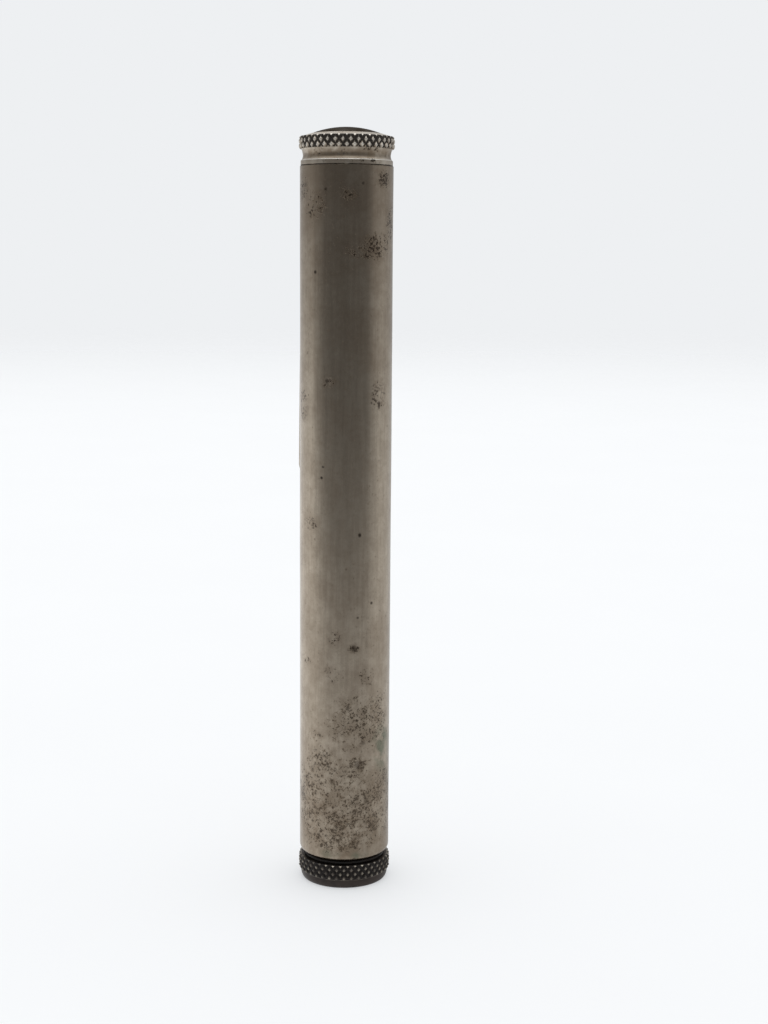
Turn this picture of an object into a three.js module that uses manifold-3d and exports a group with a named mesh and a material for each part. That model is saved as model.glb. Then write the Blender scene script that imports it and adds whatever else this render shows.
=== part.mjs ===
// Needle case: a plated brass tube with a screw cap on top and a screw plug below.
// Millimetres, +Z up. The origin is the middle of the foot, on the surface it stands on.
import * as THREE from "three";
import { mergeVertices } from "three/addons/utils/BufferGeometryUtils.js";
import Module from "manifold-3d";

const wasm = await Module();
wasm.setup();

// ---- Driving dimensions ----

// Barrel tube: half-inch tube with its lower edge spun inwards.
const TUBE_DIAMETER = 12.7;
const TUBE_WALL = 0.5;
const TUBE_LENGTH = 96.3;
const LIP_RADIUS = 1.0; // outer radius of the spun lower edge
const LIP_TURN_IN = 0.15; // how far the edge runs on inwards past its round

// Threads: all right-handed, 26 turns to the inch.
const THREAD_PITCH = 25.4 / 26;
const THREAD_DEPTH = 0.4;
const FLANK_SLOPE = Math.tan(THREE.MathUtils.degToRad(27.5)); // half width lost per unit of depth
const THREAD_BACKLASH = 0.12; // axial play between ridge and groove
const THREAD_CREST_GAP = 0.1; // radial play between crest and root
const THREAD_TAPER = 0.2; // run-out at each end of an outer thread, in turns
const THREAD_SINK = 0.05; // how far a ridge starts under the root

// Fits.
const SEAT_GAP = 0.05; // between faces that close on each other
const BOND_GAP = 0.05; // solder or glue film between fixed pieces
const LOOSE_GAP = 0.15; // round discs and rings that lie in place

// Neck collar, soldered in the tube's mouth.
const NECK_WALL = 0.55; // under the thread
const COLLAR_LENGTH = 6.0; // what is inside the tube
const NECK_THREAD_START = 0.15; // plain neck below the thread
const NECK_THREAD_END = 0.1; // plain neck above the thread

// Cap, from its mouth upwards.
const BAND_STEP = 0.1; // the band is this much inside the tube
const BAND_HEIGHT = 0.73;
const BAND_CHAMFER = 0.1;
const COVE_HEIGHT = 1.47;
const COVE_DEPTH = 0.25; // from the band to the cove's narrowest place
const CAP_WALL = 0.5; // between the cove and the inside
const CAP_KNURL_HEIGHT = 1.61;
const MOUTH_RELIEF = 0.35; // plain bore below the thread
const LINER_RELIEF = 0.25; // plain bore between the thread and the liner
const SHOULDER_RISE = 0.45;
const SHOULDER_RUN = 1.55;
const CAP_ROOF = 0.35;

// Crown: domed disc let into the cap.
const CROWN_RISE = 0.9;
const CROWN_EDGE = 0.3;

// Cork liner under the cap's roof.
const LINER_THICKNESS = 0.7;

// Knurling: raised diamonds, alternate rows half a diamond apart.
const KNURL_PROUD = 0.15; // points of the diamonds beyond the tube
const KNURL_DEPTH = 0.28;
const KNURL_WIDTH = 1.075; // diamond width round the ring
const KNURL_ROW = 0.68; // half a diamond's height
const KNURL_EDGE_CHAMFER = 0.16;
const KNURL_BACKING = 0.1; // solid metal under the deepest groove, inside the ring's own wall

// Base plug, from the floor upwards.
const FOOT_HEIGHT = 1.3;
const FOOT_INSET = 0.65; // the floor circle is this much inside the knurling
const FOOT_STEP = 0.15; // the top of the foot is this much inside the knurling
const FOOT_BULGE = 0.25; // height at which the foot's side has swelled out
const BASE_KNURL_HEIGHT = 2.05;
const STUD_HEIGHT = 5.25; // above the knurled ring
const STUD_LIP_GAP = 0.35; // between the stud's thread and the tube's spun edge
const STUD_THREAD_START = 1.85;
const STUD_THREAD_END = 0.3;
const STUD_WALL = 0.75; // round the cushion's pocket
const POCKET_DEPTH = 1.0;

// Washer in the groove between plug and tube.
const WASHER_THICKNESS = 0.4;
const WASHER_INSET = 0.6; // its edge is this much inside the tube

// Bush, soldered in the tube's foot.
const BUSH_LENGTH = 4.6;
const BUSH_ENTRY = 0.4; // plain bore below the thread
const BUSH_RELIEF = 0.8; // plain bore above the thread

// Felt cushion that the needles stand on.
const CUSHION_THICKNESS = 1.55;

// Facets of a plain round, and spans of a rounded stretch of outline.
const ROUND = 48;
const ARC_SPANS = 6;
const INNER_ARC_SPANS = 4;
const FOOT_SPANS = 5;

// ---- Places and radii that follow from them ----

const tubeRadius = TUBE_DIAMETER / 2;
const boreRadius = tubeRadius - TUBE_WALL;
const ringRadius = tubeRadius + KNURL_PROUD;
const bandRadius = tubeRadius - BAND_STEP;
const coveRadius = bandRadius - COVE_DEPTH;
const insertRadius = boreRadius - BOND_GAP; // collar and bush

const diamonds = Math.round((2 * Math.PI * ringRadius) / KNURL_WIDTH);
const knurlEdgeRadius = ringRadius - KNURL_EDGE_CHAMFER;
const knurlRootRadius = ringRadius - KNURL_DEPTH;
const knurlCoreRadius = knurlRootRadius - KNURL_BACKING;

const plugTop = FOOT_HEIGHT + BASE_KNURL_HEIGHT;
const tubeBottom = plugTop + WASHER_THICKNESS + 2 * SEAT_GAP;
const seam = tubeBottom + TUBE_LENGTH;
const capBottom = seam + SEAT_GAP;
const coveBottom = capBottom + BAND_HEIGHT;
const capKnurlBottom = coveBottom + COVE_HEIGHT;
const capKnurlTop = capKnurlBottom + CAP_KNURL_HEIGHT;
const crownEdgeTop = capKnurlTop + SHOULDER_RISE;
const crownSeat = crownEdgeTop - CROWN_EDGE - SEAT_GAP;
const capCeiling = crownSeat - CAP_ROOF;
const linerBottom = capCeiling - SEAT_GAP - LINER_THICKNESS;
const neckTop = linerBottom - SEAT_GAP;

const capReliefRadius = coveRadius - CAP_WALL;
const neckCrestRadius = capReliefRadius - SEAT_GAP - THREAD_CREST_GAP;
const neckRootRadius = neckCrestRadius - THREAD_DEPTH;
const neckBoreRadius = neckRootRadius - NECK_WALL;
const shoulderTopRadius = knurlEdgeRadius - SHOULDER_RUN;

const lipInnerRadius = tubeRadius - LIP_RADIUS - LIP_TURN_IN;
const studCrestRadius = lipInnerRadius - STUD_LIP_GAP;
const studRootRadius = studCrestRadius - THREAD_DEPTH;
const bushReliefRadius = studCrestRadius + THREAD_CREST_GAP + SEAT_GAP;
const pocketRadius = studRootRadius - STUD_WALL;
const studTop = plugTop + STUD_HEIGHT;
const bushBottom = tubeBottom + TUBE_WALL + BOND_GAP;
const bushTop = bushBottom + BUSH_LENGTH;
const cushionBottom = studTop - POCKET_DEPTH + BOND_GAP;

// ---- Shaping helpers ----

// A closed mesh as a solid that can be joined and cut.
function solid(geometry) {
  const bare = geometry.clone();
  bare.deleteAttribute("normal");
  bare.deleteAttribute("uv");
  const welded = mergeVertices(bare, 1e-4);
  return new wasm.Manifold(
    new wasm.Mesh({
      numProp: 3,
      vertProperties: new Float32Array(welded.getAttribute("position").array),
      triVerts: new Uint32Array(welded.getIndex().array),
    }),
  );
}

// A joined or cut solid back as a flat-shaded mesh geometry.
function surface(body) {
  const { vertProperties, triVerts } = body.getMesh();
  const geometry = new THREE.BufferGeometry();
  geometry.setAttribute("position", new THREE.BufferAttribute(vertProperties, 3));
  geometry.setIndex(new THREE.BufferAttribute(triVerts, 1));
  const flat = geometry.toNonIndexed();
  flat.computeVertexNormals();
  return flat;
}

// A solid of revolution about Z. The profile's points are [radius, height], anticlockwise.
function turned(profile, facets = ROUND) {
  const points = profile.map(([radius, height]) => new THREE.Vector2(radius, height));
  return new THREE.LatheGeometry(points, facets).rotateX(Math.PI / 2);
}

// The closed profile of a ring, from its four sides.
function ringProfile(inner, outer, bottom, top) {
  return [[inner, bottom], [outer, bottom], [outer, top], [inner, top], [inner, bottom]];
}

// Points on a circular arc, angles in degrees from the radius direction.
function arc(radius, height, size, from, to, steps) {
  return Array.from({ length: steps + 1 }, (_, i) => {
    const angle = THREE.MathUtils.degToRad(from + ((to - from) * i) / steps);
    return [radius + size * Math.cos(angle), height + size * Math.sin(angle)];
  });
}

// A helical ridge with a trapezoid section, right-handed about Z, for adding to a shank or for
// cutting a groove into a bore. Its middle line would pass through the height `phase` at angle 0,
// so two ridges with one phase are in step, and it runs from the height `from` to the height `to`.
// It starts a little under the root, and tapered ends sink to there.
function ridge({ root, crest, rootWidth, crestWidth, phase, from, to, taper, facets }) {
  const sunkWidth = rootWidth + 2 * THREAD_SINK * FLANK_SLOPE;
  const first = Math.ceil(((from - phase) / THREAD_PITCH) * facets);
  const last = Math.floor(((to - phase) / THREAD_PITCH) * facets);
  const taperSteps = taper * facets;
  const corners = [];
  for (let i = first; i <= last; i += 1) {
    const angle = (2 * Math.PI * i) / facets;
    const middle = phase + (THREAD_PITCH * i) / facets;
    const rise = taper ? Math.min(1, (i - first) / taperSteps, (last - i) / taperSteps) : 1;
    const top = THREE.MathUtils.lerp(root - THREAD_SINK / 2, crest, rise);
    const section = [[root - THREAD_SINK, -sunkWidth / 2], [top, -crestWidth / 2],
      [top, crestWidth / 2], [root - THREAD_SINK, sunkWidth / 2]];
    for (const [radius, along] of section)
      corners.push(radius * Math.sin(angle), -radius * Math.cos(angle), middle + along);
  }
  const faces = [0, 1, 2, 0, 2, 3];
  const end = 4 * (last - first);
  for (let start = 0; start < end; start += 4)
    for (let side = 0; side < 4; side += 1) {
      const here = start + side;
      const next = start + ((side + 1) % 4);
      faces.push(here, here + 4, next, next, here + 4, next + 4);
    }
  faces.push(end, end + 2, end + 1, end, end + 3, end + 2);
  const geometry = new THREE.BufferGeometry();
  geometry.setAttribute("position", new THREE.Float32BufferAttribute(corners, 3));
  geometry.setIndex(faces);
  return solid(geometry);
}

// The thread on a shank of the given root radius, between two heights.
function outerThread(rootRadius, bottom, top, phase, facets) {
  const pitchWidth = (THREAD_PITCH - THREAD_BACKLASH) / 2;
  const rootWidth = pitchWidth + THREAD_DEPTH * FLANK_SLOPE;
  return ridge({
    root: rootRadius,
    crest: rootRadius + THREAD_DEPTH,
    rootWidth,
    crestWidth: pitchWidth - THREAD_DEPTH * FLANK_SLOPE,
    phase,
    from: bottom + rootWidth / 2,
    to: top - rootWidth / 2,
    taper: THREAD_TAPER,
    facets,
  });
}

// The groove that takes that thread, for cutting out of a bore between two heights. It runs on past
// both until it is clear of the bore, into plain reliefs that are wider than the groove.
function innerThread(rootRadius, bottom, top, phase, facets) {
  const pitchWidth = (THREAD_PITCH + THREAD_BACKLASH) / 2;
  const bore = rootRadius + THREAD_CREST_GAP;
  const rootWidth = pitchWidth + (THREAD_DEPTH - 2 * THREAD_CREST_GAP) * FLANK_SLOPE;
  const overrun = rootWidth / 2 + THREAD_PITCH / facets;
  return ridge({
    root: bore,
    crest: bore + THREAD_DEPTH,
    rootWidth,
    crestWidth: rootWidth - 2 * THREAD_DEPTH * FLANK_SLOPE,
    phase,
    from: bottom - overrun,
    to: top + overrun,
    taper: 0,
    facets,
  });
}

// A ring whose outside is knurled: a lathe with two facets to each diamond, whose rows are drawn in
// at every other corner. Each facet pair is split along the groove between two diamonds.
function knurledRing(inner, bottom, top) {
  const rows = Math.round((top - bottom) / KNURL_ROW);
  const lowest = (bottom + top - (rows - 1) * KNURL_ROW) / 2;
  const points = Array.from({ length: rows }, (_, i) => [ringRadius, lowest + i * KNURL_ROW]);
  const profile = [[inner, bottom], [knurlEdgeRadius, bottom], ...points,
    [knurlEdgeRadius, top], [inner, top], [inner, bottom]];
  const geometry = turned(profile, 2 * diamonds);
  const position = geometry.getAttribute("position");
  const index = geometry.getIndex();
  const across = profile.length;
  const isLow = (column, row) => row >= 2 && row < 2 + rows && (column + row) % 2 === 1;
  const shrink = knurlRootRadius / ringRadius;
  for (let column = 0; column <= 2 * diamonds; column += 1)
    for (let row = 2; row < 2 + rows; row += 1) {
      if (!isLow(column, row)) continue;
      const at = column * across + row;
      position.setX(at, position.getX(at) * shrink);
      position.setY(at, position.getY(at) * shrink);
    }
  for (let column = 0; column < 2 * diamonds; column += 1)
    for (let row = 2; row < 1 + rows; row += 1) {
      const [a, b] = [column * across + row, (column + 1) * across + row];
      const cell = 6 * (column * (across - 1) + row);
      const corners = isLow(column, row)
        ? [a, b, b + 1, a, b + 1, a + 1]
        : [a, b, a + 1, b, b + 1, a + 1];
      corners.forEach((vertex, i) => index.setX(cell + i, vertex));
    }
  return solid(geometry);
}

// ---- Pieces ----

function barrelTube() {
  const [radius, height] = [tubeRadius - LIP_RADIUS, tubeBottom + LIP_RADIUS];
  const outside = arc(radius, height, LIP_RADIUS, -90, 0, ARC_SPANS);
  const inside = arc(radius, height, LIP_RADIUS - TUBE_WALL, 0, -90, INNER_ARC_SPANS);
  return turned([
    [lipInnerRadius, tubeBottom], ...outside, [tubeRadius, seam], [boreRadius, seam],
    ...inside, [lipInnerRadius, tubeBottom + TUBE_WALL], [lipInnerRadius, tubeBottom],
  ]);
}

function neckCollar() {
  const sleeve = turned([
    [neckBoreRadius, seam - COLLAR_LENGTH], [insertRadius, seam - COLLAR_LENGTH],
    [insertRadius, seam], [neckRootRadius, seam], [neckRootRadius, neckTop],
    [neckBoreRadius, neckTop], [neckBoreRadius, seam - COLLAR_LENGTH],
  ], diamonds);
  const thread = outerThread(
    neckRootRadius, seam + NECK_THREAD_START, neckTop - NECK_THREAD_END, seam, diamonds,
  );
  return surface(solid(sleeve).add(thread));
}

function baseBush() {
  const bore = studRootRadius + THREAD_CREST_GAP;
  const clearOfLip = LIP_RADIUS - TUBE_WALL;
  const entryTop = bushBottom + BUSH_ENTRY;
  const threadTop = bushTop - BUSH_RELIEF;
  const sleeve = turned([
    [bushReliefRadius, bushBottom], [insertRadius - clearOfLip, bushBottom],
    [insertRadius, bushBottom + clearOfLip], [insertRadius, bushTop], [bushReliefRadius, bushTop],
    [bushReliefRadius, threadTop], [bore, threadTop], [bore, entryTop],
    [bushReliefRadius, entryTop], [bushReliefRadius, bushBottom],
  ], diamonds);
  const groove = innerThread(studRootRadius, entryTop, threadTop, plugTop, diamonds);
  return surface(solid(sleeve).subtract(groove));
}

// The cove's arc, from its lower edge above the band to its upper edge under the knurling.
function coveArc() {
  const half = COVE_HEIGHT / 2;
  const sagitta = COVE_DEPTH - BAND_CHAMFER;
  const size = (half ** 2 + sagitta ** 2) / (2 * sagitta);
  const angle = THREE.MathUtils.radToDeg(Math.asin(half / size));
  return arc(coveRadius + size, coveBottom + half, size, 180 + angle, 180 - angle, ARC_SPANS);
}

function capShell() {
  const bore = neckRootRadius + THREAD_CREST_GAP;
  const entryTop = capBottom + MOUTH_RELIEF;
  const threadTop = linerBottom - LINER_RELIEF;
  const recess = shoulderTopRadius + BOND_GAP;
  const shell = turned([
    [capReliefRadius, capBottom], [bandRadius, capBottom],
    [bandRadius, coveBottom - BAND_CHAMFER], ...coveArc(), [knurlCoreRadius, capKnurlBottom],
    [knurlCoreRadius, capKnurlTop], [knurlEdgeRadius, capKnurlTop], [recess, crownEdgeTop],
    [recess, crownSeat], [0, crownSeat], [0, capCeiling], [capReliefRadius, capCeiling],
    [capReliefRadius, threadTop], [bore, threadTop], [bore, entryTop],
    [capReliefRadius, entryTop], [capReliefRadius, capBottom],
  ], diamonds);
  const knurl = knurledRing(coveRadius, capKnurlBottom, capKnurlTop);
  const groove = innerThread(neckRootRadius, entryTop, threadTop, seam, diamonds);
  return surface(solid(shell).add(knurl).subtract(groove));
}

function capCrown() {
  const size = (shoulderTopRadius ** 2 + CROWN_RISE ** 2) / (2 * CROWN_RISE);
  const edgeAngle = THREE.MathUtils.radToDeg(Math.acos(shoulderTopRadius / size));
  const top = crownEdgeTop + CROWN_RISE;
  const dome = arc(0, top - size, size, edgeAngle, 90, ARC_SPANS).slice(0, -1);
  return turned([
    [0, crownSeat + SEAT_GAP], [shoulderTopRadius, crownSeat + SEAT_GAP], ...dome, [0, top],
  ]);
}

function capLiner() {
  const radius = neckCrestRadius;
  const top = linerBottom + LINER_THICKNESS;
  return turned([[0, linerBottom], [radius, linerBottom], [radius, top], [0, top]]);
}

function basePlug() {
  const footTopRadius = knurlEdgeRadius - FOOT_STEP;
  const floorRadius = ringRadius - FOOT_INSET;
  const foot = new THREE.QuadraticBezierCurve(
    new THREE.Vector2(floorRadius, 0),
    new THREE.Vector2(footTopRadius, FOOT_BULGE),
    new THREE.Vector2(footTopRadius, FOOT_HEIGHT),
  ).getPoints(FOOT_SPANS).map((point) => [point.x, point.y]);
  const body = turned([
    [0, 0], ...foot, [knurlCoreRadius, FOOT_HEIGHT], [knurlCoreRadius, plugTop],
    [studRootRadius, plugTop], [studRootRadius, studTop], [pocketRadius, studTop],
    [pocketRadius, studTop - POCKET_DEPTH],
    [0, studTop - POCKET_DEPTH],
  ], diamonds);
  const knurl = knurledRing(studRootRadius, FOOT_HEIGHT, plugTop);
  const thread = outerThread(
    studRootRadius, plugTop + STUD_THREAD_START, studTop - STUD_THREAD_END, plugTop, diamonds,
  );
  return surface(solid(body).add(knurl).add(thread));
}

function baseWasher() {
  const bottom = plugTop + SEAT_GAP;
  const inner = studRootRadius + LOOSE_GAP;
  return turned(ringProfile(inner, tubeRadius - WASHER_INSET, bottom, bottom + WASHER_THICKNESS));
}

function baseCushion() {
  const radius = pocketRadius - BOND_GAP;
  const top = cushionBottom + CUSHION_THICKNESS;
  return turned([[0, cushionBottom], [radius, cushionBottom], [radius, top], [0, top]]);
}

// ---- Materials ----

const finish = (color, roughness, metalness) =>
  new THREE.MeshStandardMaterial({ color, roughness, metalness });
const nickel = () => finish(0x8f887c, 0.38, 1);
const brass = () => finish(0xa98a4e, 0.4, 1);

// ---- Assembly ----

const needleCase = new THREE.Group();
const barrel = new THREE.Group();
const cap = new THREE.Group();
const base = new THREE.Group();
needleCase.add(barrel, cap, base);

function place(group, name, geometry, material) {
  const mesh = new THREE.Mesh(geometry, material);
  mesh.name = name;
  group.add(mesh);
}

place(barrel, "barrel_tube", barrelTube(), nickel());
place(barrel, "neck_collar", neckCollar(), brass());
place(barrel, "base_bush", baseBush(), brass());
place(cap, "cap_shell", capShell(), nickel());
place(cap, "cap_crown", capCrown(), finish(0x4a4642, 0.45, 1));
place(cap, "cap_liner", capLiner(), finish(0x9b7248, 0.9, 0));
place(base, "base_plug", basePlug(), finish(0x3f3a33, 0.5, 1));
place(base, "base_washer", baseWasher(), finish(0x2b211b, 0.8, 0));
place(base, "base_cushion", baseCushion(), finish(0x6d2f2c, 1, 0));

export default needleCase;
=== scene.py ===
"""Fine surfaces, finishes and studio for the needle case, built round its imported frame."""
import logging
import math
from dataclasses import dataclass, field
from enum import Enum
from functools import cache
from typing import Sequence, Union

import bmesh
import bpy
import numpy as np
from mathutils import Matrix, Vector


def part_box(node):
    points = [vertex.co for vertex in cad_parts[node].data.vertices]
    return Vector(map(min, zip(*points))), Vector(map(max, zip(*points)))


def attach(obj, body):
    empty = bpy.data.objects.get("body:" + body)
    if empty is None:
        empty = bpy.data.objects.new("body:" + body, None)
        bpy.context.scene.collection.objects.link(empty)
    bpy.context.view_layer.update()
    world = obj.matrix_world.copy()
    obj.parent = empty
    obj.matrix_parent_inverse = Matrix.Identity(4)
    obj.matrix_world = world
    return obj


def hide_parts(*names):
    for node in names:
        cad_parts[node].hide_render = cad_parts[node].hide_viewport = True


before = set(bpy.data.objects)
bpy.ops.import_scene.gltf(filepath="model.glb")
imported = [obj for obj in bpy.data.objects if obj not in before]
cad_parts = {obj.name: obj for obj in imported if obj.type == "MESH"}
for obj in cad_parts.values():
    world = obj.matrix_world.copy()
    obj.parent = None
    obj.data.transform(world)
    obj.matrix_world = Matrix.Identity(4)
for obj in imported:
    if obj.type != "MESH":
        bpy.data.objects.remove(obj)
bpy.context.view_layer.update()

MM = 0.001
TURN = 2.0 * math.pi
CORNER = 0.05  # mm broken off a turned corner
log = logging.getLogger("needle_case")

Socket = bpy.types.NodeSocket
Tree = bpy.types.NodeTree
Piece = bpy.types.Object
Material = bpy.types.Material
Number = Union[float, "Value"]
Colour = tuple[float, float, float]
Paint = Union[Colour, Socket]


# Turned surfaces


@dataclass(frozen=True)
class Rows:
    """Rows of points round Z, in millimetres, with two marks for the finishes.

    Each array has one row of points to each ring of the surface and one column to each angle.
    """

    radius: np.ndarray
    height: np.ndarray
    groove: np.ndarray
    edge: np.ndarray

    def part(self, which: slice) -> "Rows":
        """Some of the rows, in the slice's order."""
        return Rows(self.radius[which], self.height[which], self.groove[which], self.edge[which])

    def moved(self, radius: float | np.ndarray = 0.0, height: float | np.ndarray = 0.0,
              edge: float = 0.0) -> "Rows":
        """The same rows with something added to their radius, height or edge mark."""
        return Rows(self.radius + radius, self.height + height, self.groove, self.edge + edge)

    @staticmethod
    def stacked(parts: Sequence["Rows"]) -> "Rows":
        """All the parts' rows, one after another."""
        names = ("radius", "height", "groove", "edge")
        return Rows(*(np.vstack([getattr(part, name) for part in parts]) for name in names))


class Side(Enum):
    """Which side of the metal a thread is cut on."""

    SHANK = "shank"
    BORE = "bore"


class Lathe:
    """Collects the outline of a turned piece and makes its closed mesh.

    The outline runs anticlockwise in (radius, height), so its faces point outwards.
    """

    def __init__(self, name: str, columns: int) -> None:
        """Start a piece.

        Args:
            name: The Blender object's name.
            columns: How many facets go round the piece.
        """
        self.name = name
        self.angles = np.linspace(0.0, TURN, columns + 1)[None, :]
        self.parts: list[Rows] = []

    def rows(self, rows: Rows) -> "Lathe":
        """Add rows that were worked out elsewhere."""
        self.parts.append(rows)
        return self

    def points(self, points: Sequence[tuple[float, ...]]) -> "Lathe":
        """Add plain rings.

        Args:
            points: (radius, height), then an edge mark and a groove mark where there are any.

        Returns:
            The lathe, so that calls can be chained.
        """
        full = np.array([(*point, 0.0, 0.0)[:4] for point in points])
        wide = np.ones_like(self.angles)
        radius, height, edge, groove = (full[:, i : i + 1] * wide for i in range(4))
        return self.rows(Rows(radius, height, groove, edge))

    def arc(self, centre: tuple[float, float], size: float, start: float, end: float,
            steps: int, groove: float = 0.0) -> "Lathe":
        """Add rings along a circular arc of the outline.

        Formula: radius = centre radius + size x cos(angle), height = centre height + size x
        sin(angle), with the angle running evenly from start to end.

        Args:
            centre: (radius, height) of the arc's centre.
            size: The arc's own radius.
            start: First angle, in degrees from the direction of the radius.
            end: Last angle, in degrees.
            steps: How many spans the arc has.
            groove: Groove mark of the whole arc.

        Returns:
            The lathe.
        """
        angle = np.radians(np.linspace(start, end, steps + 1))
        return self.points([(centre[0] + size * math.cos(a), centre[1] + size * math.sin(a), 0.0,
                             groove) for a in angle])

    def line(self, start: tuple[float, float], end: tuple[float, float], steps: int) -> "Lathe":
        """Add evenly spaced rings on a straight stretch, both ends included."""
        return self.points([tuple(row) for row in np.linspace(start, end, steps + 1)])

    def lifted(self, height: np.ndarray) -> "Lathe":
        """Add something to the height of every row so far."""
        self.parts = [Rows.stacked(self.parts).moved(height=height)]
        return self

    def mesh(self, ring: bool, smooth_angle: float = 32.0) -> Piece:
        """Join the rows into one closed mesh object at the origin.

        Each point stands at (radius x sin(angle), -radius x cos(angle), height), so angle 0 is
        the front and angles run anticlockwise seen from above.

        Args:
            ring: True if the last row joins the first; False if both lie on the axis.
            smooth_angle: Edges sharper than this, in degrees, stay crisp.

        Returns:
            The finished object.
        """
        rows = Rows.stacked(self.parts)
        count, columns = rows.radius.shape
        x = rows.radius * np.sin(self.angles)
        y = -rows.radius * np.cos(self.angles)
        verts = np.stack([x, y, rows.height], axis=-1).reshape(-1, 3) * MM
        grid = np.arange(count * columns).reshape(count, columns)
        above = np.roll(grid, -1, axis=0) if ring else grid[1:]
        below = grid if ring else grid[:-1]
        quads = np.stack([below[:, :-1], below[:, 1:], above[:, 1:], above[:, :-1]], axis=-1)
        mesh = bpy.data.meshes.new(self.name)
        mesh.from_pydata(verts.tolist(), [], quads.reshape(-1, 4).tolist())
        for name in ("groove", "edge"):
            layer = mesh.attributes.new(name, "FLOAT", "POINT")
            layer.data.foreach_set("value", getattr(rows, name).astype(np.float32).ravel())
        weld(mesh)
        mesh.shade_smooth()
        mesh.set_sharp_from_angle(angle=math.radians(smooth_angle))
        piece = bpy.data.objects.new(self.name, mesh)
        bpy.context.scene.collection.objects.link(piece)
        return piece


def weld(mesh: bpy.types.Mesh) -> None:
    """Merge points that coincide, drop faces without area and turn the rest outwards.

    Args:
        mesh: The mesh to clean.
    """
    work = bmesh.new()
    work.from_mesh(mesh)
    bmesh.ops.remove_doubles(work, verts=work.verts, dist=1e-7)
    bmesh.ops.dissolve_degenerate(work, edges=work.edges, dist=1e-8)
    bmesh.ops.recalc_face_normals(work, faces=work.faces)
    work.to_mesh(mesh)
    work.free()
    mesh.update()


@dataclass(frozen=True)
class Thread:
    """A right-handed screw thread with straight flanks and flat crests; sizes in mm."""

    pitch: float = 25.4 / 26
    depth: float = 0.4
    flank: float = math.tan(math.radians(27.5))
    backlash: float = 0.12
    crest_gap: float = 0.1
    run_out: float = 0.22
    dirt: float = 0.6
    steps: int = 18

    def rows(self, angles: np.ndarray, root: float, bottom: float, top: float, phase: float,
             side: Side) -> Rows:
        """The threaded stretch of a shank, or of the bore that takes that shank.

        The rows climb with the helix: height = row x pitch / steps + pitch x angle / turn, held
        between bottom and top, so that the last column meets the first one turn further up. The
        radius rises from the root over each flank in proportion to the distance from the ridge's
        middle line, which passes the height `phase` at angle 0, and fades at the shank's ends.

        Args:
            angles: The piece's column angles.
            root: Root radius of the shank's thread.
            bottom: Where the stretch starts.
            top: Where it ends.
            phase: A height of the ridge's middle line at angle 0.
            side: Whether the shank or the bore is being cut.

        Returns:
            The rows: a shank's from bottom to top, a bore's from top to bottom.
        """
        rise = self.pitch * angles / TURN
        count = math.ceil((top - bottom + self.pitch) / self.pitch * self.steps)
        start = (np.arange(count + 1)[:, None] / self.steps - 1.0) * self.pitch
        height = np.clip(bottom + start + rise, bottom, top)
        from_middle = np.abs((height - phase - rise + self.pitch / 2) % self.pitch - self.pitch / 2)
        bore = side is Side.BORE
        half_width = self.pitch / 4 + (self.backlash if bore else -self.backlash) / 4
        middle = self.depth / 2 - (self.crest_gap if bore else 0.0)
        lift = np.clip((half_width - from_middle) / self.flank + middle, 0.0, self.depth)
        filled = self.dirt * lift / self.depth
        if bore:
            cut = Rows(root + self.crest_gap + lift, height, filled, np.zeros_like(lift))
            return cut.part(slice(None, None, -1))
        ends = np.clip(np.minimum(height - bottom, top - height) / self.run_out, 0.0, 1.0)
        return Rows(root + lift * ends, height, self.dirt - filled, np.zeros_like(lift))


@dataclass(frozen=True)
class Knurl:
    """Crossed rows of raised diamonds round a ring; sizes in mm."""

    diamonds: int = 38
    facets: int = 12
    row: float = 0.68
    depth: float = 0.32
    flat: float = 0.10
    chamfer: float = 0.16
    shift: float = -0.10
    dirt_rise: float = 0.20
    wear_reach: float = 1.9
    steps: int = 30

    @property
    def columns(self) -> int:
        """Facets round a knurled piece."""
        return self.facets * self.diamonds

    def rows(self, angles: np.ndarray, outer: float, bottom: float, top: float) -> Rows:
        """The knurled face of a ring.

        Two families of grooves cross. With u the angle counted in diamonds and v the height
        counted in diamonds, a point's distance from the middle of its band is that of u + v, and
        of u - v, from the nearest whole number: nothing at a diamond's middle and a half in a
        groove. The radius falls with the larger of the two distances, past the flat on top of the
        diamond, and both ends of the ring are chamfered.

        Args:
            angles: The piece's column angles.
            outer: Radius over the diamonds' flats.
            bottom: Lower edge of the ring.
            top: Upper edge of the ring.

        Returns:
            The rows, from bottom to top.
        """
        height = np.linspace(bottom, top, self.steps + 1)[:, None] * np.ones_like(angles)
        lines = max(1, round((top - bottom) / self.row))
        lowest = (bottom + top - (lines - 1) * self.row) / 2 + self.shift
        u = self.diamonds * angles / TURN
        v = (height - lowest) / (2 * self.row)
        across = [np.abs((w + 0.5) % 1.0 - 0.5) for w in (u + v, u - v)]
        cut = np.clip((np.maximum(*across) - self.flat) / (0.5 - self.flat), 0.0, 1.0)
        from_end = np.minimum(height - bottom, top - height)
        radius = np.minimum(outer - self.depth * cut, outer - self.chamfer + from_end)
        share_up = 2 * (height - bottom) / (top - bottom) - 1.0
        dirt = np.where(cut > 0.0, cut + self.dirt_rise * share_up, 0.0)
        return Rows(radius, height, dirt, np.clip(1.0 - cut * self.wear_reach, 0.0, 1.0))


# Shader wiring


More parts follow.
